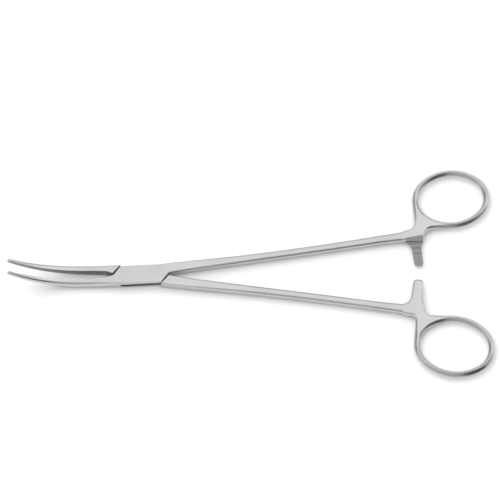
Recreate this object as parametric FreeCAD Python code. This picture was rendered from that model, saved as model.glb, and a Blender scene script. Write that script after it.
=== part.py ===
import FreeCAD, Part
import math
import os

# Curved thoracic forceps with a box lock, finger rings and a ratchet.
# Millimetres. +X runs along the instrument to the rings, Y across it, +Z up.
# The origin is on the pivot's axis, at the back face of the lock.
# Each half is drawn with the jaw tips touching, its shank on the +Y side and its jaw
# on the -Y side. The male half is mirrored, and both are then turned to the rest pose.

V = FreeCAD.Vector
UP = V(0, 0, 1)
ORIGIN = V(0, 0, 0)

# Two places nearer than this are the same place, and a cutter runs this far past what it cuts.
SAME_PLACE = 0.01
OVERCUT = 1.0

# Pose at rest: each half is turned this far from the pose where the tips touch.
REST_TURN_DEG = 2.35

# Lock
LOCK_THICKNESS = 5.2
PLATE_THICKNESS = 1.7
WEB_CLEARANCE = 0.05
LOCK_HALF_WIDTH = 4.25
LOCK_EDGE_BEVEL = 0.45
SHOULDER_INNER_X = 12.7
SHOULDER_OUTER_X = 9.2
SHOULDER_CLEARANCE = 0.15
SLOT_END_CLEARANCE = 0.2
LOCK_CUT_REACH = 8.0
PIN_RADIUS = 1.5
PIN_PRESS = 0.01
PIN_RUNNING_CLEARANCE = 0.04

# Jaws
JAW_TIP_X = 59.5
JAW_CURVE_START_X = 25.5
JAW_CURVE_RADIUS = 50.0
JAW_ROOT_WIDTH = LOCK_HALF_WIDTH
JAW_TIP_WIDTH = 1.2
JAW_ROOT_HEIGHT = 5.1
JAW_TIP_HEIGHT = 1.7
JAW_FULLNESS = 0.2
JAW_ROOT_FLAT = 0.85
JAW_TIP_FLAT = 0.5
JAW_RELIEF_X = 16.0
JAW_RELIEF = 0.94
JAW_TIP_GAP = 0.05
JAW_SECTIONS = 6
JAW_NOSE_LENGTH = 1.0
JAW_NOSE_SECTIONS = 4
JAW_NOSE_END = 0.5
SERRATION_PITCH = 1.0
SERRATION_SHARE = 0.8
SERRATION_DEPTH = 0.25
SERRATION_START_X = 20.0

# Shanks
SHANK_ROOT_X = 9.0
SHANK_ROOT_THICKNESS = 5.1
SHANK_NECK_X = 23.0
SHANK_NECK_WIDTH = 4.3
SHANK_NECK_THICKNESS = 4.4
SHANK_END_X = 109.0
SHANK_END_WIDTH = 4.0
SHANK_THICKNESS = 3.4
SHANK_WAIST = 0.4
SHANK_EDGE_BEVEL = 0.85
SHANK_NECK_OFFSET = 3.44
SHANK_END_OFFSET = 11.7
SHANK_BOW = -0.45
SHANK_SECTIONS = 5
SHANK_ROOT_SWELL = 0.5

# Finger rings
RING_BAND = 2.7
RING_THICKNESS = 3.4
RING_EDGE_BEVEL = 0.85
OVAL_END_SHARE = 0.55
RING_CENTRE_X = 141.6
RING_CENTRE_Y = 29.9
BOX_RING_LENGTH = 29.4
BOX_RING_WIDTH = 22.6
BOX_RING_TILT_DEG = 2.4
MALE_RING_LENGTH = 30.7
MALE_RING_WIDTH = 23.8
MALE_RING_TILT_DEG = 7.4

# Root where the shank forks into its ring and its ratchet arm
SHANK_END_SLOPE_DEG = 6.5
ROOT_INNER_SLOPE_DEG = 4.0
ROOT_LEFT_HEADING_DEG = 92.0
ROOT_LOWER_HEADING_DEG = 0.0
ROOT_LEFT_LEAN = 0.6
ROOT_OUTER_FILLET = 2.5
ROOT_FORK_FILLET = 4.4
ROOT_FORK_SHARE = 0.9
ROOT_HEEL_ROUND = 1.5

# Ratchet
RATCHET_INNER_X = 122.0
RATCHET_OUTER_X = 126.6
RATCHET_TIP_WIDTH = 3.6
RATCHET_REACH = 1.75
RATCHET_CLEARANCE = 0.1
RATCHET_TIP_ROUND = 1.3
RATCHET_FLARE = 3.0
RATCHET_FLARE_SHARE = 0.96
TOOTH_COUNT = 3
TOOTH_PITCH = 2.5
TOOTH_DEPTH = 0.6
LIP_LENGTH = 4.9
LIP_DROP = 0.8
STEP_INNER_X = 119.8
STEP_INNER_Y = 11.4
STEP_OUTER_Y = 12.4

MID_Z = LOCK_THICKNESS / 2


def blend(a, b, t):
    """A value part of the way from a to b."""
    return a + (b - a) * t


def prism(points, z_low, z_high):
    """An upright solid on a polygon of (x, y) points."""
    corners = [V(x, y, z_low) for x, y in points]
    face = Part.Face(Part.makePolygon(corners + corners[:1]))
    return face.extrude(V(0, 0, z_high - z_low))


def upright_edges(solid, places):
    """The vertical edges of a solid that stand at the given (x, y) places."""
    found = []
    for edge in solid.Edges:
        ends = [vertex.Point for vertex in edge.Vertexes]
        if len(ends) < 2 or abs(ends[0].z - ends[1].z) < SAME_PLACE:
            continue
        for x, y in places:
            if all(math.hypot(end.x - x, end.y - y) < SAME_PLACE for end in ends):
                found.append(edge)
    return found


def mirrored(points):
    """The same outline on the other side of the instrument's axis."""
    return [(x, -y) for x, y in points]


def shoulder_band(offset, half_width):
    """The outline between the two slanted shoulders of the box, widened by an offset along X."""
    run = (SHOULDER_INNER_X - SHOULDER_OUTER_X) / LOCK_HALF_WIDTH
    inner = SHOULDER_INNER_X + offset
    reach = run * half_width
    return [(-inner + reach, half_width), (inner + reach, half_width),
            (inner - reach, -half_width), (-inner - reach, -half_width)]


def box_block():
    """The middle of a half: a full-thickness block under both plates, with its long edges rounded."""
    width = LOCK_HALF_WIDTH
    points = [(-SHOULDER_INNER_X, 0), (-SHOULDER_OUTER_X, width), (SHOULDER_OUTER_X, width),
              (SHOULDER_INNER_X, 0), (SHOULDER_OUTER_X, -width), (-SHOULDER_OUTER_X, -width)]
    block = prism(points, 0, LOCK_THICKNESS)
    long_edges = []
    for edge in block.Edges:
        ends = [vertex.Point for vertex in edge.Vertexes]
        on_side = all(abs(abs(end.y) - width) < SAME_PLACE for end in ends)
        if on_side and abs(ends[0].x - ends[1].x) > SAME_PLACE:
            long_edges.append(edge)
    return block.makeChamfer(LOCK_EDGE_BEVEL, long_edges)


def jaw_place(distance):
    """A point on the jaw's centre curve, this far from the pivot along X, and its slope there."""
    run = max(0.0, distance - JAW_CURVE_START_X)
    slope = math.asin(run / JAW_CURVE_RADIUS)
    rise = JAW_CURVE_RADIUS * (1 - math.cos(slope))
    return V(-distance, 0, MID_Z + rise), slope


def jaw_section(distance, shrink=1.0):
    """One section of a jaw: flat top and bottom, and an outer side that bulges in an arc."""
    centre, slope = jaw_place(distance)
    across = V(0, 1, 0)
    height_axis = V(math.sin(slope), 0, math.cos(slope))
    t = (distance - SHOULDER_OUTER_X) / (JAW_TIP_X - SHOULDER_OUTER_X)
    outer = blend(JAW_ROOT_WIDTH, JAW_TIP_WIDTH, t) + JAW_FULLNESS * 4 * t * (1 - t)
    outer = outer * shrink
    flat = outer * blend(JAW_ROOT_FLAT, JAW_TIP_FLAT, min(1.0, 2 * t))
    half = blend(JAW_ROOT_HEIGHT, JAW_TIP_HEIGHT, t) / 2 * shrink

    def point(y, h):
        return centre + across * y + height_axis * h

    inner = JAW_TIP_WIDTH / 2
    top = Part.LineSegment(point(inner, half), point(-flat, half)).toShape()
    side = Part.Arc(point(-flat, half), point(-outer, 0), point(-flat, -half)).toShape()
    bottom = Part.LineSegment(point(-flat, -half), point(inner, -half)).toShape()
    face = Part.LineSegment(point(inner, -half), point(inner, half)).toShape()
    return Part.Wire([top, side, bottom, face])


def clamp_offset(distance):
    """How far a clamping face stands off the mid-line: the jaws are relieved towards the lock."""
    t = (distance - JAW_RELIEF_X) / (JAW_TIP_X - JAW_RELIEF_X)
    return blend(JAW_RELIEF, JAW_TIP_GAP, t)


def serration(distance):
    """One groove across a clamping face, square to the jaw's curve."""
    centre, slope = jaw_place(distance)
    along = V(-math.cos(slope), 0, math.sin(slope))
    height_axis = V(math.sin(slope), 0, math.cos(slope))
    half_width = SERRATION_PITCH * SERRATION_SHARE / 2
    face_y = -clamp_offset(distance)
    base = centre - height_axis * JAW_ROOT_HEIGHT
    mouth = face_y + SERRATION_DEPTH
    corners = [base + along * (-2 * half_width) + V(0, mouth, 0),
               base + along * (2 * half_width) + V(0, mouth, 0),
               base + V(0, face_y - SERRATION_DEPTH, 0)]
    face = Part.Face(Part.makePolygon(corners + corners[:1]))
    return face.extrude(height_axis * (2 * JAW_ROOT_HEIGHT))


def serration_places():
    """Distances of the grooves from the pivot, a pitch apart along the curve."""
    places = []
    distance = SERRATION_START_X
    while distance < JAW_TIP_X - SERRATION_PITCH:
        places.append(distance)
        distance = distance + SERRATION_PITCH * math.cos(jaw_place(distance)[1])
    return places


def jaw():
    """A jaw: tapered and curved upwards, flat and serrated where it clamps, rounded at its tip."""
    nose_x = JAW_TIP_X - JAW_NOSE_LENGTH
    places = [blend(SHOULDER_OUTER_X, nose_x, step / JAW_SECTIONS) for step in range(JAW_SECTIONS + 1)]
    body = Part.makeLoft([jaw_section(place) for place in places], True, False)
    nose = []
    for step in range(JAW_NOSE_SECTIONS + 1):
        t = step / JAW_NOSE_SECTIONS
        shrink = blend(1, JAW_NOSE_END, 1 - math.sqrt(1 - t * t))
        nose.append(jaw_section(blend(nose_x, JAW_TIP_X, t), shrink))
    body = body.fuse(Part.makeLoft(nose, True, True))
    far = JAW_TIP_X + JAW_ROOT_WIDTH
    wide = JAW_ROOT_WIDTH
    over_face = [(0, 0), (-SHOULDER_INNER_X, 0), (-JAW_RELIEF_X, -clamp_offset(JAW_RELIEF_X)),
                 (-far, -clamp_offset(far)), (-far, wide), (0, wide)]
    body = body.cut(prism(over_face, -JAW_TIP_X, JAW_TIP_X))
    return body.cut([serration(place) for place in serration_places()])


def bevelled_section(x, y, width, thickness, bevel):
    """A rectangle with bevelled corners, square to X, centred at (x, y) and at mid-thickness."""
    w = width / 2
    t = thickness / 2
    corners = [(w - bevel, t), (w, t - bevel), (w, -t + bevel), (w - bevel, -t),
               (-w + bevel, -t), (-w, -t + bevel), (-w, t - bevel), (-w + bevel, t)]
    points = [V(x, y + dy, MID_Z + dz) for dy, dz in corners]
    return Part.makePolygon(points + points[:1])


def shank_offset(x):
    """How far the shank's centre line stands off the mid-line: a slightly bowed straight line."""
    t = (x - SHANK_NECK_X) / (SHANK_END_X - SHANK_NECK_X)
    return blend(SHANK_NECK_OFFSET, SHANK_END_OFFSET, t) + SHANK_BOW * 4 * t * (1 - t)


def shank_section(x):
    """One section of the shank beyond its neck: waisted, and thinning to its ring end."""
    t = (x - SHANK_NECK_X) / (SHANK_END_X - SHANK_NECK_X)
    width = blend(SHANK_NECK_WIDTH, SHANK_END_WIDTH, t) - SHANK_WAIST * 4 * t * (1 - t)
    thickness = blend(SHANK_THICKNESS, SHANK_NECK_THICKNESS, (1 - t) ** 2)
    return bevelled_section(x, shank_offset(x), width, thickness, SHANK_EDGE_BEVEL)


def shank():
    """A shank: as thick as the lock at its root, waisted along its length, widening at the ring."""
    root_width = LOCK_HALF_WIDTH + SHANK_ROOT_SWELL
    root = [bevelled_section(SHANK_ROOT_X, LOCK_HALF_WIDTH / 2, LOCK_HALF_WIDTH,
                             SHANK_ROOT_THICKNESS, LOCK_EDGE_BEVEL),
            bevelled_section(SHOULDER_INNER_X, root_width / 2, root_width,
                             SHANK_ROOT_THICKNESS, LOCK_EDGE_BEVEL),
            shank_section(SHANK_NECK_X)]
    places = [blend(SHANK_NECK_X, SHANK_END_X, step / SHANK_SECTIONS)
              for step in range(SHANK_SECTIONS + 1)]
    body = Part.makeLoft([shank_section(place) for place in places], True, False)
    return Part.makeLoft(root, True, True).fuse(body)


class Oval:
    """A ring's opening: two end arcs and two side arcs that meet smoothly, turned by a tilt."""

    def __init__(self, length, width, tilt_deg):
        long = length / 2
        short = width / 2
        self.end_radius = short - OVAL_END_SHARE * (long - short)
        end = long - self.end_radius
        rest = short - self.end_radius
        self.side_radius = (end * end + short * short - self.end_radius ** 2) / (2 * rest)
        self.end_centre = end
        self.side_centre = self.side_radius - short
        self.turn = math.radians(tilt_deg)

    def place(self, u, v):
        """A place given along the oval's own axes, as (x, y)."""
        return (RING_CENTRE_X + u * math.cos(self.turn) - v * math.sin(self.turn),
                RING_CENTRE_Y + u * math.sin(self.turn) + v * math.cos(self.turn))

    def wire(self, grow, z):
        """The oval, grown outwards by a band, as four arcs."""
        join = math.atan2(self.side_centre, self.end_centre)
        end_radius = self.end_radius + grow
        side_radius = self.side_radius + grow

        def arc(centre_u, centre_v, radius, start, finish):
            points = []
            for angle in (start, (start + finish) / 2, finish):
                x, y = self.place(centre_u + radius * math.cos(angle),
                                  centre_v + radius * math.sin(angle))
                points.append(V(x, y, z))
            return Part.Arc(*points).toShape()

        return Part.Wire([arc(self.end_centre, 0, end_radius, -join, join),
                          arc(0, -self.side_centre, side_radius, join, math.pi - join),
                          arc(-self.end_centre, 0, end_radius, math.pi - join, math.pi + join),
                          arc(0, self.side_centre, side_radius, math.pi + join, 2 * math.pi - join)])

    def touch_left(self, heading_deg):
        """Where a line with this heading touches the grown oval's left end."""
        x, y = self.place(-self.end_centre, 0)
        heading = math.radians(heading_deg)
        radius = self.end_radius + RING_BAND
        return x - radius * math.sin(heading), y + radius * math.cos(heading)

    def touch_below(self, heading_deg):
        """Where a line with this heading touches the grown oval's lower side."""
        x, y = self.place(0, self.side_centre)
        heading = math.radians(heading_deg)
        radius = self.side_radius + RING_BAND
        return x + radius * math.sin(heading), y - radius * math.cos(heading)


def ring_and_root(length, width, tilt_deg):
    """The finger ring and the forked root that carries it, as one plate with rounded edges."""
    oval = Oval(length, width, tilt_deg)
    low = MID_Z - RING_THICKNESS / 2
    left = oval.touch_left(ROOT_LEFT_HEADING_DEG)
    below = oval.touch_below(ROOT_LOWER_HEADING_DEG)
    shank_low = SHANK_END_OFFSET - SHANK_END_WIDTH / 2
    shank_high = SHANK_END_OFFSET + SHANK_END_WIDTH / 2
    outer_run = math.tan(math.radians(SHANK_END_SLOPE_DEG))
    inner_run = math.tan(math.radians(ROOT_INNER_SLOPE_DEG))
    corner_x = left[0] + ROOT_LEFT_LEAN
    corner = (corner_x, shank_high + outer_run * (corner_x - SHANK_END_X))
    fork = (RATCHET_OUTER_X, below[1])
    heel = (RATCHET_OUTER_X, shank_low + inner_run * (RATCHET_OUTER_X - SHANK_END_X))
    root = prism([(SHANK_END_X, shank_low), heel, fork, below, (RING_CENTRE_X, RING_CENTRE_Y),
                  left, corner, (SHANK_END_X, shank_high)], low, low + RING_THICKNESS)
    disc = Part.Face(oval.wire(RING_BAND, low)).extrude(UP * RING_THICKNESS)
    plate = disc.fuse(root).removeSplitter()
    fork_fillet = min(ROOT_FORK_FILLET, ROOT_FORK_SHARE * (fork[1] - heel[1]))
    plate = plate.makeFillet(ROOT_OUTER_FILLET, upright_edges(plate, [corner]))
    plate = plate.makeFillet(fork_fillet, upright_edges(plate, [fork]))
    plate = plate.makeFillet(ROOT_HEEL_ROUND, upright_edges(plate, [heel]))
    hole = Part.Face(oval.wire(0, low - OVERCUT)).extrude(UP * (RING_THICKNESS + 2 * OVERCUT))
    plate = plate.cut(hole)
    rims = []
    for edge in plate.Edges:
        box = edge.BoundBox
        flat = box.ZMax - box.ZMin < SAME_PLACE
        if flat and box.XMax > SHANK_END_X + SAME_PLACE:
            rims.append(edge)
    return plate.makeChamfer(RING_EDGE_BEVEL, rims)


def ratchet_arm():
    """The ratchet arm under the mid-plane: rounded tip, sloping lip and saw teeth on its upper face."""
    top = MID_Z - RATCHET_CLEARANCE / 2
    tip_y = -RATCHET_REACH
    tip_x = RATCHET_OUTER_X - RATCHET_TIP_WIDTH
    root_y = SHANK_END_OFFSET
    flare = (RATCHET_INNER_X, SHANK_END_OFFSET - SHANK_END_WIDTH / 2)
    tips = [(tip_x, tip_y), (RATCHET_OUTER_X, tip_y)]
    arm = prism([(RATCHET_INNER_X - RATCHET_FLARE, root_y), (RATCHET_INNER_X - RATCHET_FLARE, flare[1]),
                 flare, *tips, (RATCHET_OUTER_X, root_y)], MID_Z - RING_THICKNESS / 2, top)
    arm = arm.makeFillet(RATCHET_FLARE_SHARE * RATCHET_FLARE, upright_edges(arm, [flare]))
    arm = arm.makeFillet(RATCHET_TIP_ROUND, upright_edges(arm, tips))
    first = tip_y + LIP_LENGTH
    cuts = [saw_cut(tip_y - SAME_PLACE, first, top - LIP_DROP, top)]
    for number in range(TOOTH_COUNT):
        start = first + number * TOOTH_PITCH
        cuts.append(saw_cut(start, start + TOOTH_PITCH, top - TOOTH_DEPTH, top))
    return arm.cut(cuts)


def saw_cut(start_y, end_y, start_z, end_z):
    """A wedge across the arm: it cuts deepest where it starts and runs out where it ends."""
    low_x = RATCHET_INNER_X - RATCHET_FLARE - OVERCUT
    above = end_z + OVERCUT
    corners = [V(low_x, start_y, start_z), V(low_x, end_y, end_z), V(low_x, end_y, above),
               V(low_x, start_y, above)]
    face = Part.Face(Part.makePolygon(corners + corners[:1]))
    return face.extrude(V(RATCHET_OUTER_X + OVERCUT - low_x, 0, 0))


def ring_end(length, width, tilt_deg):
    """The end of a half that is held: the ring on its root, milled down to a step beside the arm."""
    top = MID_Z - RATCHET_CLEARANCE / 2
    below = -RATCHET_REACH - OVERCUT
    beyond = RATCHET_OUTER_X + OVERCUT
    beside_arm = prism([(STEP_INNER_X, below), (beyond, below), (beyond, STEP_OUTER_Y),
                        (STEP_INNER_X, STEP_INNER_Y)], top, LOCK_THICKNESS)
    return ring_and_root(length, width, tilt_deg).cut(beside_arm).fuse(ratchet_arm())


def half(held_end):
    """One whole half before its lock is cut: jaw, block, shank and the end that is held, as one."""
    return box_block().fuse([jaw(), shank(), held_end])


def box_half():
    """The female half: a slot between two plates, and a press-fit hole for the pin in each plate."""
    solid = half(ring_end(BOX_RING_LENGTH, BOX_RING_WIDTH, BOX_RING_TILT_DEG))
    slot = prism(mirrored(shoulder_band(SLOT_END_CLEARANCE, LOCK_CUT_REACH)),
                 PLATE_THICKNESS, LOCK_THICKNESS - PLATE_THICKNESS)
    hole = Part.makeCylinder(PIN_RADIUS, LOCK_THICKNESS, ORIGIN, UP)
    return solid.cut([slot, hole])


def male_half():
    """The male half: a thin web through the box, shoulders outside it, and a running hole."""
    held_end = ring_end(MALE_RING_LENGTH, MALE_RING_WIDTH, MALE_RING_TILT_DEG)
    solid = half(held_end.mirror(V(0, 0, MID_Z), UP))
    band = mirrored(shoulder_band(SHOULDER_CLEARANCE, LOCK_CUT_REACH))
    plate_space = PLATE_THICKNESS + WEB_CLEARANCE
    back = prism(band, -OVERCUT, plate_space)
    front = prism(band, LOCK_THICKNESS - plate_space, LOCK_THICKNESS + OVERCUT)
    hole = Part.makeCylinder(PIN_RADIUS + PIN_RUNNING_CLEARANCE, LOCK_THICKNESS, ORIGIN, UP)
    solid = solid.cut([back, front, hole])
    return solid.mirror(ORIGIN, V(0, 1, 0))


def pivot_pin():
    """The pin, flush with both faces of the lock and a light press fit in the plates."""
    return Part.makeCylinder(PIN_RADIUS + PIN_PRESS, LOCK_THICKNESS, ORIGIN, UP)


def build():
    """Every piece in the rest pose, by the name of its file."""
    box = box_half()
    box.rotate(ORIGIN, UP, REST_TURN_DEG)
    male = male_half()
    male.rotate(ORIGIN, UP, -REST_TURN_DEG)
    return {"box_half": box, "male_half": male, "pivot_pin": pivot_pin()}


os.makedirs("parts", exist_ok=True)
for name, shape in build().items():
    shape.exportStep("parts/" + name + ".step")
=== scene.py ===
import math
from collections import namedtuple

import bmesh
import bpy
import numpy as np
from mathutils import Matrix, Vector


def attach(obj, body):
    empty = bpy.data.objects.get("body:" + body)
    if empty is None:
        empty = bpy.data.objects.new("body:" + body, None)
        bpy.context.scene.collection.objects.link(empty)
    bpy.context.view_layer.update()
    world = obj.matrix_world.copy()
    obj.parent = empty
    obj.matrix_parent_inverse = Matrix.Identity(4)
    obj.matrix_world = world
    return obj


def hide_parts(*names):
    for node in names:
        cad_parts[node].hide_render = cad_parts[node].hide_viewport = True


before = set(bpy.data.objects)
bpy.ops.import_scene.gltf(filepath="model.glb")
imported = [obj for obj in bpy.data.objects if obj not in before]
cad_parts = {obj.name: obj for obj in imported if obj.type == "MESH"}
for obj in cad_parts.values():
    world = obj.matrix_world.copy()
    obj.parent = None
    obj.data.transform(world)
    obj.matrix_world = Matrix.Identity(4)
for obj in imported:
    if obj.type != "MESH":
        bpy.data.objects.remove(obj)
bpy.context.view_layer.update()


# The box half. One bar of stainless steel, drop-forged to a jaw, a lock block, a shank and a ring,
# slotted through the lock, milled at the jaw and the ratchet arm, and finished satin. Its sizes
# and the male half's are in millimetres, with the jaw tips touching and the shank on +Y.
LOCK_THICKNESS = 5.2
LOCK_HALF_WIDTH = 4.25
LOCK_EDGE = 0.3
LOCK_REACH = 13.0
LOCK_HANDOVER_X = 5.0
LOCK_OVERLAP = 1.5
BURIED_X = 4.0
MID_Z = LOCK_THICKNESS / 2


def round_edge(a, b, radius):
    """Where two solids overlap, given their distances: the edge between them is rounded off by
    the length of the positive parts of both distances, each grown by the radius."""
    a = a + radius
    b = b + radius
    outside = np.hypot(np.maximum(a, 0), np.maximum(b, 0))
    return outside + np.minimum(np.maximum(a, b), 0) - radius


def fillet(a, b, radius):
    """Two solids joined, given their distances, with a hollow fillet: the round edge turned
    inside out, by taking both distances with the other sign."""
    return -round_edge(-a, -b, radius)


def lock_block(x, y, z):
    """Distance from the lock's block: a box whose long edges are rounded. It reaches past its
    slanted ends, and on the side of the jaw or the shank it hands over to them earlier."""
    sides = round_edge(np.abs(y) - LOCK_HALF_WIDTH, np.abs(z - MID_Z) - MID_Z, LOCK_EDGE)
    reach = np.where(y * np.sign(x) < LOCK_OVERLAP, LOCK_REACH, LOCK_HANDOVER_X)
    return np.maximum(sides, np.abs(x) - reach)


SHOULDER_INNER_X = 12.7
SHOULDER_OUTER_X = 9.2
SHOULDER_RUN = (SHOULDER_INNER_X - SHOULDER_OUTER_X) / LOCK_HALF_WIDTH
JAW_START_X = SHOULDER_OUTER_X
JAW_TIP_X = 59.5
JAW_CURVE_START_X = 25.5
JAW_CURVE_RADIUS = 50.0
JAW_ROOT_WIDTH = LOCK_HALF_WIDTH
JAW_TIP_WIDTH = 1.35
JAW_TIP_HEIGHT = 2.0
JAW_FULLNESS = 0.6
JAW_TIP_FLAT = 0.7
JAW_FLAT_FADE = 13.0
JAW_EDGE = 0.4
JAW_NOSE = 0.7


def jaw_place(x, z):
    """A point's distance from the pivot along the jaw and its height over the jaw's curve. Past
    the curve's start both follow from the angle and the radius about the curve's centre."""
    along = np.maximum(-x - JAW_CURVE_START_X, 0)
    down = MID_Z + JAW_CURVE_RADIUS - z
    curved = -x > JAW_CURVE_START_X
    turn = np.arctan2(along, down)
    distance = np.where(curved, JAW_CURVE_START_X + JAW_CURVE_RADIUS * np.sin(turn), -x)
    height = np.where(curved, JAW_CURVE_RADIUS - np.hypot(along, down), z - MID_Z)
    return distance, height


def jaw(x, y, z):
    """Distance from a jaw: flat on top and below, bulging to its outer side as one minus the
    square of the height, tapering along its curve and rounded at the tip."""
    distance, height = jaw_place(x, z)
    t = np.maximum(distance - JAW_START_X, 0) / (JAW_TIP_X - JAW_START_X)
    outer = JAW_ROOT_WIDTH + (JAW_TIP_WIDTH - JAW_ROOT_WIDTH) * t + JAW_FULLNESS * 4 * t * (1 - t)
    fade = np.exp(-(np.maximum(distance - LOCK_HANDOVER_X, 0) / JAW_FLAT_FADE) ** 2)
    share = JAW_TIP_FLAT + (1 - JAW_TIP_FLAT) * fade
    half = np.interp(distance, [SHOULDER_INNER_X, JAW_TIP_X], [LOCK_THICKNESS / 2, JAW_TIP_HEIGHT / 2])
    bulge = outer * (share + (1 - share) * (1 - np.minimum((height / half) ** 2, 1)))
    side = np.maximum(-y - bulge, y - JAW_TIP_WIDTH / 2)
    section = round_edge(side, np.abs(height) - half, JAW_EDGE)
    section = np.maximum(section, BURIED_X - distance)
    return round_edge(section, distance - JAW_TIP_X, JAW_NOSE)


SHANK_ROOT_X = 9.0
SHANK_NECK_X = 23.0
SHANK_END_X = 109.0
SHANK_STOP_X = 121.5
SHANK_NECK_Y = 3.44
SHANK_END_Y = 11.7
SHANK_SAG = 0.45
SHANK_NECK_WIDTH = 4.3
SHANK_END_WIDTH = 4.0
SHANK_WAIST = 0.4
SHANK_NECK_THICKNESS = 4.4
SHANK_END_THICKNESS = 3.4
SHOULDER_HIGH = 4.75
STEM_LOW = (SHANK_END_X, 9.7, math.radians(4.0))
STEM_HIGH = (SHANK_END_X, 13.7, math.radians(6.5))
SHANK_EDGE = 1.4
SHANK_EDGE_X = 50.8
SHANK_PLACES = (-20.0, 140.0)
SHANK_STEP = 0.25
SHANK_SOFTNESS = 2.0

# The shank's two edges and its thickness, at even steps, smoothed along its length as a forging is.
shank_x = np.arange(*SHANK_PLACES, SHANK_STEP)
shank_t = np.clip((shank_x - SHANK_NECK_X) / (SHANK_END_X - SHANK_NECK_X), 0, 1)
shank_bow = 4 * shank_t * (1 - shank_t)
shank_line = SHANK_NECK_Y + (SHANK_END_Y - SHANK_NECK_Y) * shank_t - SHANK_SAG * shank_bow
shank_width = SHANK_NECK_WIDTH + (SHANK_END_WIDTH - SHANK_NECK_WIDTH) * shank_t - SHANK_WAIST * shank_bow
shank_low = shank_line - shank_width / 2
shank_high = shank_line + shank_width / 2
shank_thick = SHANK_END_THICKNESS + (SHANK_NECK_THICKNESS - SHANK_END_THICKNESS) * (1 - shank_t) ** 2
at_root = shank_x < SHANK_NECK_X
root_places = [SHANK_ROOT_X, SHOULDER_INNER_X, SHANK_NECK_X]
root_low = [0, 0, SHANK_NECK_Y - SHANK_NECK_WIDTH / 2]
root_high = [LOCK_HALF_WIDTH, SHOULDER_HIGH, SHANK_NECK_Y + SHANK_NECK_WIDTH / 2]
root_thick = [LOCK_THICKNESS, LOCK_THICKNESS, SHANK_NECK_THICKNESS]
past_end = np.maximum(shank_x - SHANK_END_X, 0)
shank_low = np.where(at_root, np.interp(shank_x, root_places, root_low), shank_low)
shank_low = shank_low + past_end * math.tan(STEM_LOW[2])
shank_high = np.where(at_root, np.interp(shank_x, root_places, root_high), shank_high)
shank_high = shank_high + past_end * math.tan(STEM_HIGH[2])
shank_thick = np.where(at_root, np.interp(shank_x, root_places, root_thick), shank_thick)
spread = np.arange(-3 * SHANK_SOFTNESS, 3 * SHANK_SOFTNESS + SHANK_STEP, SHANK_STEP)
weights = np.exp(-(spread / SHANK_SOFTNESS) ** 2)
weights = weights / weights.sum()
shank_low = np.convolve(shank_low, weights, "same")
shank_high = np.convolve(shank_high, weights, "same")
shank_thick = np.convolve(shank_thick, weights, "same")


def shank(x, y, z):
    """Distance from the shank: between its two edges and its thickness, with the edges rounded
    more and more from the lock to the ring."""
    low = np.interp(x, shank_x, shank_low)
    high = np.interp(x, shank_x, shank_high)
    thick = np.interp(x, shank_x, shank_thick)
    edge = np.interp(x, [LOCK_HANDOVER_X, SHANK_EDGE_X], [LOCK_EDGE, SHANK_EDGE])
    sides = round_edge(np.maximum(low - y, y - high), np.abs(z - MID_Z) - thick / 2, edge)
    sides = np.maximum(sides, BURIED_X - x)
    return round_edge(sides, x - SHANK_STOP_X, LOCK_EDGE)


# A ring's opening is length by width and turned by the tilt. The fork's fillet lies between ring
# and arm, the corner's between ring and shank, and arm_extra widens the arm towards the jaws.
Ring = namedtuple("Ring", "length width tilt fork_fillet corner_fillet arm_extra")
BOX_RING = Ring(29.4, 22.6, math.radians(2.4), 6.5, 4.0, 0.0)
RING_CENTRE = (141.6, 29.9)
RING_BAND = 2.82
RING_CROWN = 1.4
OVAL_END_SHARE = 0.55


def ring_radii(ring):
    """Half the length and half the width of a ring's opening, and the radius of its end arcs."""
    long = ring.length / 2
    short = ring.width / 2
    return long, short, short - OVAL_END_SHARE * (long - short)


def oval(x, y, ring):
    """Distance outwards from a ring's opening, an oval of two end arcs and two side arcs that
    meet smoothly. By symmetry each place is measured from the nearer arc's centre."""
    long, short, end_radius = ring_radii(ring)
    end = long - end_radius
    rest = short - end_radius
    side_radius = (end * end + short * short - end_radius ** 2) / (2 * rest)
    side = side_radius - short
    dx = x - RING_CENTRE[0]
    dy = y - RING_CENTRE[1]
    u = np.abs(dx * math.cos(ring.tilt) + dy * math.sin(ring.tilt))
    v = np.abs(dy * math.cos(ring.tilt) - dx * math.sin(ring.tilt))
    at_end = v * end < (u - end) * side
    return np.where(at_end, np.hypot(u - end, v) - end_radius, np.hypot(u, v + side) - side_radius)


def above_line(x, y, start_x, start_y, heading):
    """Distance of a place to the left of a line that starts at a point and has a heading."""
    return (y - start_y) * math.cos(heading) - (x - start_x) * math.sin(heading)


ROOT_THICKNESS = 3.4
ROOT_RIM = 1.3
ROOT_POWER = 2.0
RIM_POWER = 1.18
RIM_SOFTNESS = 0.015


def domed_plate(outline, height, ring_share):
    """Distance from a plate with a rounded rim: the root of the summed powers of the shares of its
    depth and half thickness, less one. Towards the ring it gets deeper, thinner and less round."""
    depth = ROOT_RIM + (RING_BAND / 2 - ROOT_RIM) * ring_share
    half = ROOT_THICKNESS / 2 + (RING_CROWN - ROOT_THICKNESS / 2) * ring_share
    power = ROOT_POWER + (RIM_POWER - ROOT_POWER) * ring_share
    across = np.maximum(outline + depth, 0) / depth
    width_power = (across ** 2 + RIM_SOFTNESS) ** (power / 2) - RIM_SOFTNESS ** (power / 2)
    height_power = np.abs(height / half) ** power
    return ((width_power + height_power) ** (1 / power) - 1) * depth


ARM_OUTER_X = 126.6
ARM_TIP_X = 123.3
ARM_LEAN = 0.7
ARM_REACH = 1.75
ARM_NEAR_SIDE = (ARM_TIP_X, -ARM_REACH, math.radians(96.0))
ARM_FAR_SIDE = (ARM_OUTER_X + ARM_LEAN, -ARM_REACH, math.radians(93.0))
ARM_TIP_ROUND = 1.3
ARM_FLARE = 4.2
LEFT_HEADING = math.radians(92.0)
ROOT_CENTRE = (121.5, 8.0)
ROOT_REACH = 9.5
RING_REACH = 17.0


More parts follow.
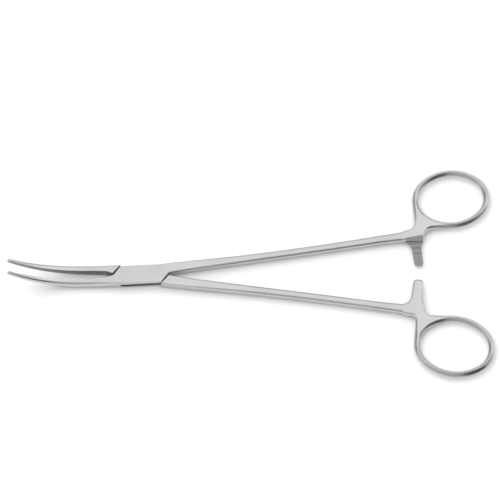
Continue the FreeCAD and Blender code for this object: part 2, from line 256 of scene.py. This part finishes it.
def ring_and_root(x, y, z, ring):
    """Distance from the ring, the forked root that carries it and the ratchet arm: the outlines
    of stem, web, arm and ring joined with fillets, less the opening, as one domed plate."""
    long, short, end_radius = ring_radii(ring)
    left_x = RING_CENTRE[0] - (long - end_radius) * math.cos(ring.tilt)
    left_y = RING_CENTRE[1] - (long - end_radius) * math.sin(ring.tilt)
    left_line = above_line(x, y, left_x, left_y, LEFT_HEADING) - end_radius - RING_BAND
    bottom = RING_CENTRE[1] - short - RING_BAND
    stem = np.maximum(above_line(x, y, *STEM_HIGH), -above_line(x, y, *STEM_LOW))
    stem = np.maximum(stem, np.maximum(x - ARM_OUTER_X, SHANK_END_X - x))
    arm = np.maximum(above_line(x + ring.arm_extra, y, *ARM_NEAR_SIDE), -above_line(x, y, *ARM_FAR_SIDE))
    arm = np.maximum(round_edge(arm, -ARM_REACH - y, ARM_TIP_ROUND), y - STEM_HIGH[1])
    web = np.maximum(np.maximum(left_line, bottom - y), np.maximum(x - RING_CENTRE[0], y - left_y))
    radius = np.interp(x, [ARM_TIP_X, ARM_OUTER_X], [ring.corner_fillet, ring.fork_fillet])
    opening = oval(x, y, ring)
    outline = fillet(fillet(stem, arm, ARM_FLARE), web, radius)
    outline = np.maximum(np.minimum(outline, opening - RING_BAND), -opening)
    from_root = np.hypot(x - ROOT_CENTRE[0], y - ROOT_CENTRE[1])
    ring_share = np.interp(from_root, [ROOT_REACH, RING_REACH], [0, 1])
    return domed_plate(outline, z - MID_Z, ring_share)


def forging(places, ring):
    """Distance from one whole half before milling: the least of its parts' distances."""
    x, y, z = places.T
    lock_end = np.minimum(lock_block(x, y, z), jaw(x, y, z))
    return np.minimum(np.minimum(lock_end, shank(x, y, z)), ring_and_root(x, y, z, ring))


def mesh_from_arrays(name, places, faces):
    """A mesh from an array of places and an array of four-cornered faces."""
    mesh = bpy.data.meshes.new(name)
    mesh.vertices.add(len(places))
    mesh.vertices.foreach_set("co", places.astype(np.float32).ravel())
    mesh.loops.add(faces.size)
    mesh.loops.foreach_set("vertex_index", faces.astype(np.int32).ravel())
    mesh.polygons.add(len(faces))
    starts = np.arange(0, faces.size, faces.shape[1], dtype=np.int32)
    mesh.polygons.foreach_set("loop_start", starts)
    mesh.update(calc_edges=True)
    return mesh


def places_of(mesh):
    """The mesh's places as an array with a row for each vertex."""
    places = np.empty(len(mesh.vertices) * 3, np.float32)
    mesh.vertices.foreach_get("co", places)
    return places.reshape(-1, 3).astype(float)


BLOCK_SIZE = 0.5
FORGING_LOW = (-62.0, -6.0, -1.5)
FORGING_HIGH = (160.0, 47.0, 19.0)


def stacked_blocks(distance):
    """The first rough surface: every small block whose middle lies inside the solid, with a face
    wherever a block has no neighbour."""
    axes = [np.arange(FORGING_LOW[k], FORGING_HIGH[k], BLOCK_SIZE) for k in range(3)]
    shape = [len(axis) for axis in axes]
    grid = np.stack(np.meshgrid(*axes, indexing="ij"), axis=-1).reshape(-1, 3)
    inside = (distance(grid) < 0).reshape(shape)
    inside[[0, -1]] = False
    inside[:, [0, -1]] = False
    inside[:, :, [0, -1]] = False
    corners = []
    for axis in range(3):
        others = [k for k in range(3) if k != axis]
        for way in (1, -1):
            bare = np.argwhere(inside & ~np.roll(inside, -way, axis))
            square = np.zeros((4, 3))
            square[:, axis] = 0.5 * way
            square[:, others[0]] = [-0.5, 0.5, 0.5, -0.5]
            square[:, others[1]] = [-0.5, -0.5, 0.5, 0.5]
            if (way == 1) == (axis == 1):
                square = square[::-1]
            corners.append(bare[:, None, :] + square[None, :, :])
    corners = np.concatenate(corners).reshape(-1, 3)
    keys = np.round(corners * 2).astype(np.int64)
    unique, index = np.unique(keys, axis=0, return_inverse=True)
    places = np.array(FORGING_LOW) + unique / 2 * BLOCK_SIZE
    return mesh_from_arrays("stacked_blocks", places, index.reshape(-1, 4))


PROBE = 0.02
PULLS = 4
LEAST_SLOPE_SQUARED = 0.25


def pulled_to(distance, places):
    """Places moved onto the surface: several times, a step along the slope of the distance, as
    long as the distance over the slope's length."""
    for _ in range(PULLS):
        value = distance(places)
        slope = np.empty_like(places)
        for axis in range(3):
            step = np.zeros(3)
            step[axis] = PROBE
            slope[:, axis] = (distance(places + step) - distance(places - step)) / (2 * PROBE)
        length_squared = np.maximum((slope ** 2).sum(axis=1), LEAST_SLOPE_SQUARED)
        places = places - slope * (value / length_squared)[:, None]
    return places


def finished_mesh(piece):
    """The piece's mesh with its modifiers applied, and the piece cleared of them."""
    bpy.context.view_layer.update()
    evaluated = piece.evaluated_get(bpy.context.evaluated_depsgraph_get())
    mesh = bpy.data.meshes.new_from_object(evaluated)
    piece.modifiers.clear()
    piece.data = mesh
    return mesh


COARSE_VOXEL = 0.4
FINE_VOXEL = 0.24


def forged_half(name, ring, finish):
    """One half as it leaves the forge: stacked blocks, remeshed evenly and pulled onto the
    surface, twice, the second time finer."""
    def distance(places):
        return forging(places, ring)
    piece = bpy.data.objects.new(name, stacked_blocks(distance))
    bpy.context.scene.collection.objects.link(piece)
    for voxel in (COARSE_VOXEL, FINE_VOXEL):
        remesh = piece.modifiers.new("even", "REMESH")
        remesh.mode = "VOXEL"
        remesh.voxel_size = voxel
        mesh = finished_mesh(piece)
        places = pulled_to(distance, places_of(mesh))
        mesh.vertices.foreach_set("co", places.astype(np.float32).ravel())
    piece.data.materials.append(finish)
    return piece


def milled(piece, cutters, finish):
    """The piece less every cutter. The cut faces take the cutters' own finish."""
    for places, faces in cutters:
        mesh = bpy.data.meshes.new("cutter")
        mesh.from_pydata([tuple(place) for place in places], [], faces)
        shell = bmesh.new()
        shell.from_mesh(mesh)
        bmesh.ops.recalc_face_normals(shell, faces=shell.faces)
        shell.to_mesh(mesh)
        shell.free()
        mesh.materials.append(finish)
        cutter = bpy.data.objects.new("cutter", mesh)
        bpy.context.scene.collection.objects.link(cutter)
        cut = piece.modifiers.new("cut", "BOOLEAN")
        cut.operation = "DIFFERENCE"
        cut.solver = "MANIFOLD"
        cut.material_mode = "TRANSFER"
        cut.object = cutter
        finished_mesh(piece)
        bpy.data.objects.remove(cutter)


def prism(outline, bottom, top):
    """A cutter: an outline of (x, y) places, from one height to another, as places and faces."""
    count = len(outline)
    flat = np.array(outline, float)
    low = np.column_stack([flat, np.full(count, bottom)])
    high = np.column_stack([flat, np.full(count, top)])
    faces = [tuple(range(count)), tuple(range(count, 2 * count))]
    for k in range(count):
        after = (k + 1) % count
        faces.append((k, after, count + after, count + k))
    return np.vstack([low, high]), faces


CUT_BOTTOM = -2.0
CUT_TOP = 30.0
CUT_WIDTH = 6.0
CUT_MARGIN = 1.0
CUT_PAST_TIP = 4.0
CUT_PAST_LOCK = 2.0
JAW_RELIEF_X = 16.0
JAW_RELIEF = 0.94
JAW_TIP_GAP = 0.05
SIDE_CLEARANCE = 0.03


def clamp_offset(distance):
    """How far a clamping face stands off the mid-line, falling evenly from the lock to the tip."""
    t = (distance - JAW_RELIEF_X) / (JAW_TIP_X - JAW_RELIEF_X)
    return JAW_RELIEF + (JAW_TIP_GAP - JAW_RELIEF) * t


def clamp_cutter():
    """The space over a clamping face, from the lock to beyond the tip."""
    far = JAW_TIP_X + CUT_PAST_TIP
    outline = [(-SHOULDER_INNER_X, 0), (-JAW_RELIEF_X, -JAW_RELIEF), (-far, -clamp_offset(far)),
               (-far, CUT_WIDTH), (-SHOULDER_INNER_X + SHOULDER_RUN * CUT_WIDTH, CUT_WIDTH)]
    return prism(outline, CUT_BOTTOM, CUT_TOP)


def shank_side_cutter():
    """The space beside the shank's root, beyond the lock's slanted end on that side."""
    far = LOCK_REACH + CUT_PAST_LOCK
    outline = [(SHOULDER_INNER_X, SIDE_CLEARANCE), (far, SIDE_CLEARANCE), (far, -CUT_WIDTH),
               (SHOULDER_INNER_X - SHOULDER_RUN * CUT_WIDTH, -CUT_WIDTH)]
    return prism(outline, CUT_BOTTOM, CUT_TOP)


TOOTH_PITCH = 1.0
TOOTH_SHARE = 0.8
TOOTH_DEPTH = 0.25
TOOTH_START_X = 20.0
TOOTH_LIFT = 0.001
WEDGE_FACES = [(0, 1, 2), (5, 4, 3), (0, 3, 4, 1), (1, 4, 5, 2), (2, 5, 3, 0)]


def serration_cutter():
    """The grooves across a clamping face, a pitch apart along the curve, as one cutter: each is a
    wedge with its edge below the face, square to the curve, and they stand clear of each other."""
    corners = []
    faces = []
    distance = TOOTH_START_X
    while distance < JAW_TIP_X - TOOTH_PITCH:
        run = max(0.0, distance - JAW_CURVE_START_X)
        slope = math.asin(run / JAW_CURVE_RADIUS)
        centre = np.array([-distance, 0, MID_Z + JAW_CURVE_RADIUS * (1 - math.cos(slope))])
        half_tooth = np.array([-math.cos(slope), 0, math.sin(slope)]) * TOOTH_PITCH * TOOTH_SHARE / 2
        upward = np.array([math.sin(slope), 0, math.cos(slope)]) * LOCK_THICKNESS
        face_y = -clamp_offset(distance)
        lifted = np.array([0, face_y + TOOTH_LIFT, 0])
        wedge = [np.array([0, face_y - TOOTH_DEPTH, 0]), lifted + half_tooth, lifted - half_tooth]
        faces = faces + [tuple(len(corners) + index for index in face) for face in WEDGE_FACES]
        for end in (centre - upward, centre + upward):
            corners = corners + [end + corner for corner in wedge]
        distance = distance + TOOTH_PITCH * math.cos(slope)
    return np.array(corners), faces


ARM_CLEARANCE = 0.1
ARM_CUT_Y = -5.0
STEP_NEAR = (119.8, 11.4)
STEP_FAR = (129.0, 12.7)
RAMP_LENGTH = 3.1
FACE_STEP = 0.01


def arm_cutter(arm_side, depth, lean):
    """The half of the ratchet arm that is milled away, to a depth under the mid-plane. With a lean
    of one the cutter's end leans back from the arm's face to the root's, and leaves a ramp."""
    corners = []
    for height in (-depth, ROOT_THICKNESS):
        back = RAMP_LENGTH * (1 - lean * (height + depth) / (ROOT_THICKNESS / 2))
        z = MID_Z + arm_side * height
        corners = corners + [(STEP_NEAR[0], ARM_CUT_Y, z), (STEP_FAR[0], ARM_CUT_Y, z),
                             (STEP_FAR[0], STEP_FAR[1] - back, z), (STEP_NEAR[0], STEP_NEAR[1] - back, z)]
    faces = [(0, 1, 2, 3), (7, 6, 5, 4), (0, 4, 5, 1), (1, 5, 6, 2), (2, 6, 7, 3), (3, 7, 4, 0)]
    return np.array(corners), faces


SAW_PITCH = 2.5
SAW_VALLEY = 0.9
SAW_TOP = 2.0
SAW_DEPTH = 0.45
SAW_COUNT = 3
SAW_NEAR_X = 118.3
SAW_FAR_X = 129.6
LIP_LENGTH = 4.9
LIP_DROP = 0.8


def saw_cutters(arm_side):
    """The ratchet's sloping lip and the gaps between its teeth, in the arm's face at the mid-plane:
    each gap has an upright wall, a flat floor and a ramp up to the next tooth's land. Every cut is
    a prism across the arm, on a side view of five corners."""
    top = -ARM_CLEARANCE / 2
    air = top + CUT_MARGIN
    tip = -ARM_REACH
    past_tip = tip - CUT_MARGIN
    first = tip + LIP_LENGTH
    sides = [[(past_tip, top - LIP_DROP), (tip, top - LIP_DROP), (first, top), (first, air), (past_tip, air)]]
    for number in range(SAW_COUNT):
        start = first + number * SAW_PITCH
        floor_end = start + SAW_VALLEY
        end = start + SAW_TOP
        sides.append([(start, top - SAW_DEPTH), (floor_end, top - SAW_DEPTH), (end, top), (end, air),
                      (start, air)])
    faces = [(0, 1, 2, 3, 4), (9, 8, 7, 6, 5)]
    faces = faces + [(k, (k + 1) % 5, 5 + (k + 1) % 5, 5 + k) for k in range(5)]
    cutters = []
    for side in sides:
        corners = [(x, y, MID_Z + arm_side * height) for x in (SAW_NEAR_X, SAW_FAR_X) for y, height in side]
        cutters.append((np.array(corners), faces))
    return cutters


GROOVE_HALF_WIDTH = 0.32
GROOVE_DEPTH = 0.35
GROOVE_LIFT = 0.02
GROOVE_PAST_EDGE = 1.5


def shoulder_grooves(face_z, inward):
    """The hollow line that the finisher's file leaves where the two halves meet: a shallow wedge
    along each slanted end, its edge pointing into the lock."""
    cutters = []
    section = ((-GROOVE_HALF_WIDTH, GROOVE_LIFT), (GROOVE_HALF_WIDTH, GROOVE_LIFT), (0, -GROOVE_DEPTH))
    for way in (1, -1):
        start = np.array([SHOULDER_INNER_X, 0.0]) * way
        slant = np.array([SHOULDER_OUTER_X - SHOULDER_INNER_X, -LOCK_HALF_WIDTH]) * way
        along = slant / np.hypot(*slant)
        across = np.array([-along[1], along[0]])
        corners = []
        for end in (start, start + slant + along * GROOVE_PAST_EDGE):
            for offset, height in section:
                spot = end + across * offset
                corners.append((spot[0], spot[1], face_z + inward * height))
        cutters.append((np.array(corners), WEDGE_FACES))
    return cutters


PLATE_THICKNESS = 1.7
SLOT_END_CLEARANCE = 0.2
BAND_REACH = 8.0
PIN_RADIUS = 1.5
PIN_SIDES = 96
MOUTH_START_X = 8.0
MOUTH_END_X = 16.0
MOUTH_DEPTH = 0.9
MOUTH_LOW = 1.15
MOUTH_OVERLAP = 0.4


def band_outline(offset, low, high):
    """The outline between the box's two slanted ends, widened along X by an offset, from one place
    across the lock to another."""
    inner = SHOULDER_INNER_X + offset
    return [(-inner - SHOULDER_RUN * low, low), (inner - SHOULDER_RUN * low, low),
            (inner - SHOULDER_RUN * high, high), (-inner - SHOULDER_RUN * high, high)]


def slot_mouths():
    """The slot's two mouths, opened towards the back plate: on each side of the lock a shallow
    wedge, thickest at the end where the other half's jaw or shank leaves, and nothing at the other."""
    cutters = []
    for way in (1, -1):
        side_y = -LOCK_HALF_WIDTH * way
        corners = []
        for y in (side_y + MOUTH_DEPTH * way, side_y - way):
            corners.append((-MOUTH_START_X * way, y, MOUTH_LOW))
            corners.append((MOUTH_END_X * way, y, PLATE_THICKNESS))
            corners.append((-MOUTH_START_X * way, y, PLATE_THICKNESS + MOUTH_OVERLAP))
        cutters.append((np.array(corners), WEDGE_FACES))
    return cutters


def pin_hole(radius):
    """The hole for the pin through the lock, as a many-sided prism."""
    angles = np.arange(PIN_SIDES) * 2 * math.pi / PIN_SIDES
    circle = np.column_stack([np.cos(angles), np.sin(angles)]) * radius
    return prism(circle, -CUT_MARGIN, LOCK_THICKNESS + CUT_MARGIN)


GRAIN_DETAIL = 4
GRAIN_ROUGHNESS = 0.06
GRAIN_STRENGTH = 0.5
SMUDGE_SCALE = 70
SMUDGE_DETAIL = 3
SMUDGE_RANGE = (0.3, 0.7)
SMUDGE_SHADE = 0.05


def finish_group(name, grain_scale, grain_depth):
    """A shared surface finish. Fine grain, stretched by its scales per metre, moves the roughness
    and the normal, and wide smudges move the colour and the roughness a little."""
    group = bpy.data.node_groups.new(name, "ShaderNodeTree")
    group.interface.new_socket("Colour", in_out="INPUT", socket_type="NodeSocketColor")
    group.interface.new_socket("Roughness", in_out="INPUT", socket_type="NodeSocketFloat")
    group.interface.new_socket("Colour", in_out="OUTPUT", socket_type="NodeSocketColor")
    group.interface.new_socket("Roughness", in_out="OUTPUT", socket_type="NodeSocketFloat")
    group.interface.new_socket("Normal", in_out="OUTPUT", socket_type="NodeSocketVector")
    nodes = group.nodes
    link = group.links.new
    given = nodes.new("NodeGroupInput")
    made = nodes.new("NodeGroupOutput")
    place = nodes.new("ShaderNodeTexCoord")
    stretch = nodes.new("ShaderNodeMapping")
    stretch.inputs["Scale"].default_value = grain_scale
    link(place.outputs["Object"], stretch.inputs["Vector"])
    grain = nodes.new("ShaderNodeTexNoise")
    grain.inputs["Scale"].default_value = 1
    grain.inputs["Detail"].default_value = GRAIN_DETAIL
    link(stretch.outputs[0], grain.inputs["Vector"])
    smudge = nodes.new("ShaderNodeTexNoise")
    smudge.inputs["Scale"].default_value = SMUDGE_SCALE
    smudge.inputs["Detail"].default_value = SMUDGE_DETAIL
    link(place.outputs["Object"], smudge.inputs["Vector"])
    shade = nodes.new("ShaderNodeMapRange")
    shade.inputs["From Min"].default_value = SMUDGE_RANGE[0]
    shade.inputs["From Max"].default_value = SMUDGE_RANGE[1]
    shade.inputs["To Min"].default_value = 1 - SMUDGE_SHADE
    shade.inputs["To Max"].default_value = 1 + SMUDGE_SHADE
    link(smudge.outputs["Fac"], shade.inputs["Value"])
    tint = nodes.new("ShaderNodeVectorMath")
    tint.operation = "SCALE"
    link(given.outputs["Colour"], tint.inputs[0])
    link(shade.outputs[0], tint.inputs["Scale"])
    link(tint.outputs[0], made.inputs["Colour"])
    wear = nodes.new("ShaderNodeMath")
    wear.operation = "MULTIPLY_ADD"
    wear.inputs[1].default_value = GRAIN_ROUGHNESS
    link(grain.outputs["Fac"], wear.inputs[0])
    link(given.outputs["Roughness"], wear.inputs[2])
    rough = nodes.new("ShaderNodeMath")
    rough.operation = "MULTIPLY"
    link(wear.outputs[0], rough.inputs[0])
    link(shade.outputs[0], rough.inputs[1])
    link(rough.outputs[0], made.inputs["Roughness"])
    relief = nodes.new("ShaderNodeBump")
    relief.inputs["Strength"].default_value = GRAIN_STRENGTH
    relief.inputs["Distance"].default_value = grain_depth
    link(grain.outputs["Fac"], relief.inputs["Height"])
    link(relief.outputs[0], made.inputs["Normal"])
    return group


def steel(name, colour, roughness, group):
    """Stainless steel with a colour and a roughness that go through a shared finish."""
    material = bpy.data.materials.new(name)
    material.use_nodes = True
    nodes = material.node_tree.nodes
    shader = nodes["Principled BSDF"]
    shader.inputs["Metallic"].default_value = 1
    finish = nodes.new("ShaderNodeGroup")
    finish.node_tree = group
    finish.inputs["Colour"].default_value = (*colour, 1)
    finish.inputs["Roughness"].default_value = roughness
    for output, socket in (("Colour", "Base Color"), ("Roughness", "Roughness"), ("Normal", "Normal")):
        material.node_tree.links.new(finish.outputs[output], shader.inputs[socket])
    return material


SATIN_GRAIN = (500, 5000, 5000)
SATIN_GRAIN_DEPTH = 0.000004
MILLED_GRAIN = (700, 7000, 700)
MILLED_GRAIN_DEPTH = 0.000012
# The cut faces are coloured darker than the satin faces: the milled ones much darker, the filed ramp a
# little.
SATIN_COLOUR = (0.56, 0.56, 0.57)
SATIN_ROUGHNESS = 0.26
MILLED_COLOUR = (0.37, 0.37, 0.38)
MILLED_ROUGHNESS = 0.57
FILED_COLOUR = (0.52, 0.52, 0.53)
FILED_ROUGHNESS = 0.52

satin_finish = finish_group("satin finish", SATIN_GRAIN, SATIN_GRAIN_DEPTH)
milled_finish = finish_group("milled finish", MILLED_GRAIN, MILLED_GRAIN_DEPTH)
satin_steel = steel("satin steel", SATIN_COLOUR, SATIN_ROUGHNESS, satin_finish)
milled_steel = steel("milled steel", MILLED_COLOUR, MILLED_ROUGHNESS, milled_finish)
filed_steel = steel("filed steel", FILED_COLOUR, FILED_ROUGHNESS, milled_finish)

MILLIMETRE = 0.001
REST_TURN = math.radians(2.35)
SHARP_ANGLE = math.radians(28)


def set_on_frame(piece, mirrored, turn, body, node):
    """The piece in its place at rest: mirrored if it is the other half, turned about the pivot,
    scaled to metres, smooth except at its milled edges, and riding on its body."""
    mesh = piece.data
    places = places_of(mesh) * MILLIMETRE
    if mirrored:
        places[:, 1] = -places[:, 1]
        mesh.flip_normals()
    x, y, z = places.T
    places = np.column_stack([x * math.cos(turn) - y * math.sin(turn),
                              x * math.sin(turn) + y * math.cos(turn), z])
    mesh.vertices.foreach_set("co", places.astype(np.float32).ravel())
    mesh.update()
    mesh.shade_smooth()
    mesh.set_sharp_from_angle(angle=SHARP_ANGLE)
    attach(piece, body)
    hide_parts(node)


box_piece = forged_half("box_forging", BOX_RING, satin_steel)
box_band = band_outline(SLOT_END_CLEARANCE, -BAND_REACH, BAND_REACH)
slot = prism(box_band, PLATE_THICKNESS, LOCK_THICKNESS - PLATE_THICKNESS)
milled(box_piece, [arm_cutter(1, ARM_CLEARANCE / 2, 1)], filed_steel)
milled(box_piece, [clamp_cutter(), shank_side_cutter(), slot, *slot_mouths(), serration_cutter(),
                   arm_cutter(1, ARM_CLEARANCE / 2 + FACE_STEP, 0), *saw_cutters(1),
                   pin_hole(PIN_RADIUS), *shoulder_grooves(LOCK_THICKNESS, 1), *shoulder_grooves(0, -1)],
       milled_steel)
set_on_frame(box_piece, False, REST_TURN, "box_side", "box_half")


# The male half. The other bar of stainless steel, forged and finished in the same way, with a
# slightly larger ring. Its lock is milled down from both faces to the thin web that passes
# through the box's slot, and drilled for the pin, on which it turns.
MALE_RING = Ring(30.7, 23.8, math.radians(7.4), 4.5, 2.0, 0.8)
WEB_CLEARANCE = 0.05
WEB_HALF_WIDTH = 2.8
SHOULDER_CLEARANCE = 0.15
PIN_CLEARANCE = 0.04

male_piece = forged_half("male_forging", MALE_RING, satin_steel)
plate_space = PLATE_THICKNESS + WEB_CLEARANCE
above_lock = LOCK_THICKNESS + CUT_MARGIN
male_band = band_outline(SHOULDER_CLEARANCE, -BAND_REACH, BAND_REACH)
web_back = prism(male_band, -CUT_MARGIN, plate_space)
web_front = prism(male_band, LOCK_THICKNESS - plate_space, above_lock)
web_sides = [prism(band_outline(SHOULDER_CLEARANCE, *span), -CUT_MARGIN, above_lock)
             for span in ((-BAND_REACH, -WEB_HALF_WIDTH), (WEB_HALF_WIDTH, BAND_REACH))]
milled(male_piece, [arm_cutter(-1, ARM_CLEARANCE / 2, 1)], filed_steel)
milled(male_piece, [clamp_cutter(), shank_side_cutter(), web_back, web_front, *web_sides, serration_cutter(),
                    arm_cutter(-1, ARM_CLEARANCE / 2 + FACE_STEP, 0), *saw_cutters(-1),
                    pin_hole(PIN_RADIUS + PIN_CLEARANCE), *shoulder_grooves(LOCK_THICKNESS, 1),
                    *shoulder_grooves(0, -1)],
       milled_steel)
set_on_frame(male_piece, True, -REST_TURN, "male_side", "male_half")


# The pivot pin. A short pin of stainless bar, turned, pressed through both plates of the box and
# ground flush with them, so that hardly a line shows. Fine turning rings cross its ends.
TURNED_ROUGHNESS = 0.28
TURNING_RINGS = 4000
TURNING_DEPTH = 0.000002

turned_steel = steel("turned steel", SATIN_COLOUR, TURNED_ROUGHNESS, satin_finish)
pin_nodes = turned_steel.node_tree.nodes
pin_link = turned_steel.node_tree.links.new
pin_place = pin_nodes.new("ShaderNodeTexCoord")
pin_rings = pin_nodes.new("ShaderNodeTexWave")
pin_rings.wave_type = "RINGS"
pin_rings.rings_direction = "Z"
pin_rings.inputs["Scale"].default_value = TURNING_RINGS
pin_link(pin_place.outputs["Object"], pin_rings.inputs["Vector"])
pin_relief = pin_nodes.new("ShaderNodeBump")
pin_relief.inputs["Distance"].default_value = TURNING_DEPTH
pin_link(pin_rings.outputs["Fac"], pin_relief.inputs["Height"])
pin_link(pin_relief.outputs[0], pin_nodes["Principled BSDF"].inputs["Normal"])
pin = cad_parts["pivot_pin"]
pin.data.materials.clear()
pin.data.materials.append(turned_steel)


# The floor. A wide flat sweep of matt white paper, on which the forceps rests with the back of its
# lock. It is large enough that no edge shows, and takes the forceps' soft shadow.
FLOOR_REACH = 4.0
FLOOR_WHITE = (0.92, 0.92, 0.92, 1)
FLOOR_ROUGHNESS = 0.9

floor_corners = np.array([[-1, -1, 0], [1, -1, 0], [1, 1, 0], [-1, 1, 0]]) * FLOOR_REACH
floor_mesh = mesh_from_arrays("floor", floor_corners, np.array([[0, 1, 2, 3]]))
floor = bpy.data.objects.new("floor", floor_mesh)
bpy.context.scene.collection.objects.link(floor)
floor_material = bpy.data.materials.new("white sweep")
floor_material.use_nodes = True
floor_shader = floor_material.node_tree.nodes["Principled BSDF"]
floor_shader.inputs["Base Color"].default_value = FLOOR_WHITE
floor_shader.inputs["Roughness"].default_value = FLOOR_ROUGHNESS
floor_mesh.materials.append(floor_material)


# The room. White walls far away, which light the floor and the forceps softly from all sides. The
# camera, mirror rays and rays through glass see them as a full white.
WHITE = (1, 1, 1, 1)
ROOM_LIGHT = 0.65
ROOM_SEEN = 1.17

world = bpy.data.worlds.new("studio")
bpy.context.scene.world = world
world.use_nodes = True
world_nodes = world.node_tree.nodes
world_link = world.node_tree.links.new
room_light = world_nodes["Background"]
room_light.inputs["Color"].default_value = WHITE
room_light.inputs["Strength"].default_value = ROOM_LIGHT
room_seen = world_nodes.new("ShaderNodeBackground")
room_seen.inputs["Color"].default_value = WHITE
room_seen.inputs["Strength"].default_value = ROOM_SEEN
ray = world_nodes.new("ShaderNodeLightPath")
seen = world_nodes.new("ShaderNodeMath")
seen.operation = "MAXIMUM"
world_link(ray.outputs["Is Camera Ray"], seen.inputs[0])
world_link(ray.outputs["Is Glossy Ray"], seen.inputs[1])
seen_or_through = world_nodes.new("ShaderNodeMath")
seen_or_through.operation = "MAXIMUM"
world_link(seen.outputs[0], seen_or_through.inputs[0])
world_link(ray.outputs["Is Transmission Ray"], seen_or_through.inputs[1])
world_mix = world_nodes.new("ShaderNodeMixShader")
world_link(seen_or_through.outputs[0], world_mix.inputs[0])
world_link(room_light.outputs[0], world_mix.inputs[1])
world_link(room_seen.outputs[0], world_mix.inputs[2])
world_link(world_mix.outputs[0], world_nodes["World Output"].inputs["Surface"])


# The softbox. A square lamp box with a white cloth front, hung over the table a little behind and
# to the left. Its power is its radiance times pi and its area, and the metal doesn't mirror it.
SOFTBOX_PLACE = Vector((-0.3, 0.5, 1.3))
SOFTBOX_AIM = Vector((0.05, 0, 0))
SOFTBOX_SIZE = 2.4
SOFTBOX_RADIANCE = 1.45

softbox_light = bpy.data.lights.new("overhead softbox", "AREA")
softbox_light.size = SOFTBOX_SIZE
softbox_light.energy = SOFTBOX_RADIANCE * math.pi * SOFTBOX_SIZE * SOFTBOX_SIZE
softbox = bpy.data.objects.new("overhead softbox", softbox_light)
softbox.location = SOFTBOX_PLACE
softbox.rotation_mode = "QUATERNION"
softbox.rotation_quaternion = (SOFTBOX_AIM - SOFTBOX_PLACE).to_track_quat("-Z", "Y")
softbox.visible_glossy = False
bpy.context.scene.collection.objects.link(softbox)


# The studio's panels. Sheets of black, grey and white card on stands round the table, which give
# the steel its dark and light edges. They show in mirror rays alone, and cast no shadow.
PANEL_DISTANCE = 0.9
PANEL_STEPS = 9


def studio_panel(name, start_deg, end_deg, low_deg, high_deg, radiance):
    """A panel, a patch of a sphere between two directions round the table and two elevations:
    its places are the products of the directions' sines and cosines."""
    round_table = np.radians(np.linspace(start_deg, end_deg, PANEL_STEPS))
    upward = np.radians(np.linspace(low_deg, high_deg, PANEL_STEPS))
    turn, rise = [grid.ravel() for grid in np.meshgrid(round_table, upward, indexing="ij")]
    places = np.column_stack([np.cos(turn) * np.cos(rise), np.sin(turn) * np.cos(rise), np.sin(rise)])
    first = (np.arange(PANEL_STEPS - 1)[:, None] * PANEL_STEPS + np.arange(PANEL_STEPS - 1)).ravel()
    faces = np.column_stack([first, first + 1, first + 1 + PANEL_STEPS, first + PANEL_STEPS])
    material = bpy.data.materials.new(name)
    material.use_nodes = True
    nodes = material.node_tree.nodes
    nodes.remove(nodes["Principled BSDF"])
    glow = nodes.new("ShaderNodeEmission")
    glow.inputs["Strength"].default_value = radiance
    material.node_tree.links.new(glow.outputs[0], nodes["Material Output"].inputs["Surface"])
    mesh = mesh_from_arrays(name, places * PANEL_DISTANCE, faces)
    mesh.materials.append(material)
    panel = bpy.data.objects.new(name, mesh)
    bpy.context.scene.collection.objects.link(panel)
    panel.visible_camera = False
    panel.visible_diffuse = False
    panel.visible_shadow = False


studio_panel("black right front panel", -68, -28, 0, 62, 0.06)
studio_panel("grey right panel", -28, 2, 0, 54, 0.55)
studio_panel("grey front panel", -112, -68, 0, 76, 0.58)
studio_panel("grey left front panel", -146, -112, 0, 62, 0.6)
studio_panel("pale left front panel", -176, -146, 0, 50, 0.85)
studio_panel("grey left panel", 138, 184, 0, 34, 0.35)
studio_panel("grey back panel", 25, 138, 0, 36, 0.6)
studio_panel("bright back right panel", 12, 58, 38, 60, 1.4)


# The camera. A long lens high over the front edge of the table, tilted back by 22 degrees from
# looking straight down, and set so that the pivot falls on its own pixel of the photo.
PIXEL = 0.00045
IMAGE_SIZE = 500
PIVOT_PIXEL = (141.0, 275.9)
CAMERA_TILT = math.radians(22.0)
CAMERA_TURN = math.radians(0.68)
CAMERA_DISTANCE = 3.0
SENSOR_WIDTH = 36
CLIP_END = 10

camera_data = bpy.data.cameras.new("camera")
camera_data.sensor_width = SENSOR_WIDTH
camera_data.lens = SENSOR_WIDTH * CAMERA_DISTANCE / (IMAGE_SIZE * PIXEL)
camera_data.clip_end = CLIP_END
camera = bpy.data.objects.new("camera", camera_data)
bpy.context.scene.collection.objects.link(camera)
bpy.context.scene.camera = camera
skyward = Vector((0, 0, 1))
ahead = Vector((math.sin(CAMERA_TURN), math.cos(CAMERA_TURN), 0))
right = Vector((math.cos(CAMERA_TURN), -math.sin(CAMERA_TURN), 0))
forward = ahead * math.sin(CAMERA_TILT) - skyward * math.cos(CAMERA_TILT)
up = ahead * math.cos(CAMERA_TILT) + skyward * math.sin(CAMERA_TILT)
pivot = skyward * MID_Z * MILLIMETRE
aim = (pivot + right * (IMAGE_SIZE / 2 - PIVOT_PIXEL[0]) * PIXEL
       + up * (PIVOT_PIXEL[1] - IMAGE_SIZE / 2) * PIXEL)
camera.rotation_mode = "QUATERNION"
camera.rotation_quaternion = Matrix((right, up, -forward)).transposed().to_quaternion()
camera.location = aim - forward * CAMERA_DISTANCE

bpy.context.scene.view_settings.view_transform = "Standard"
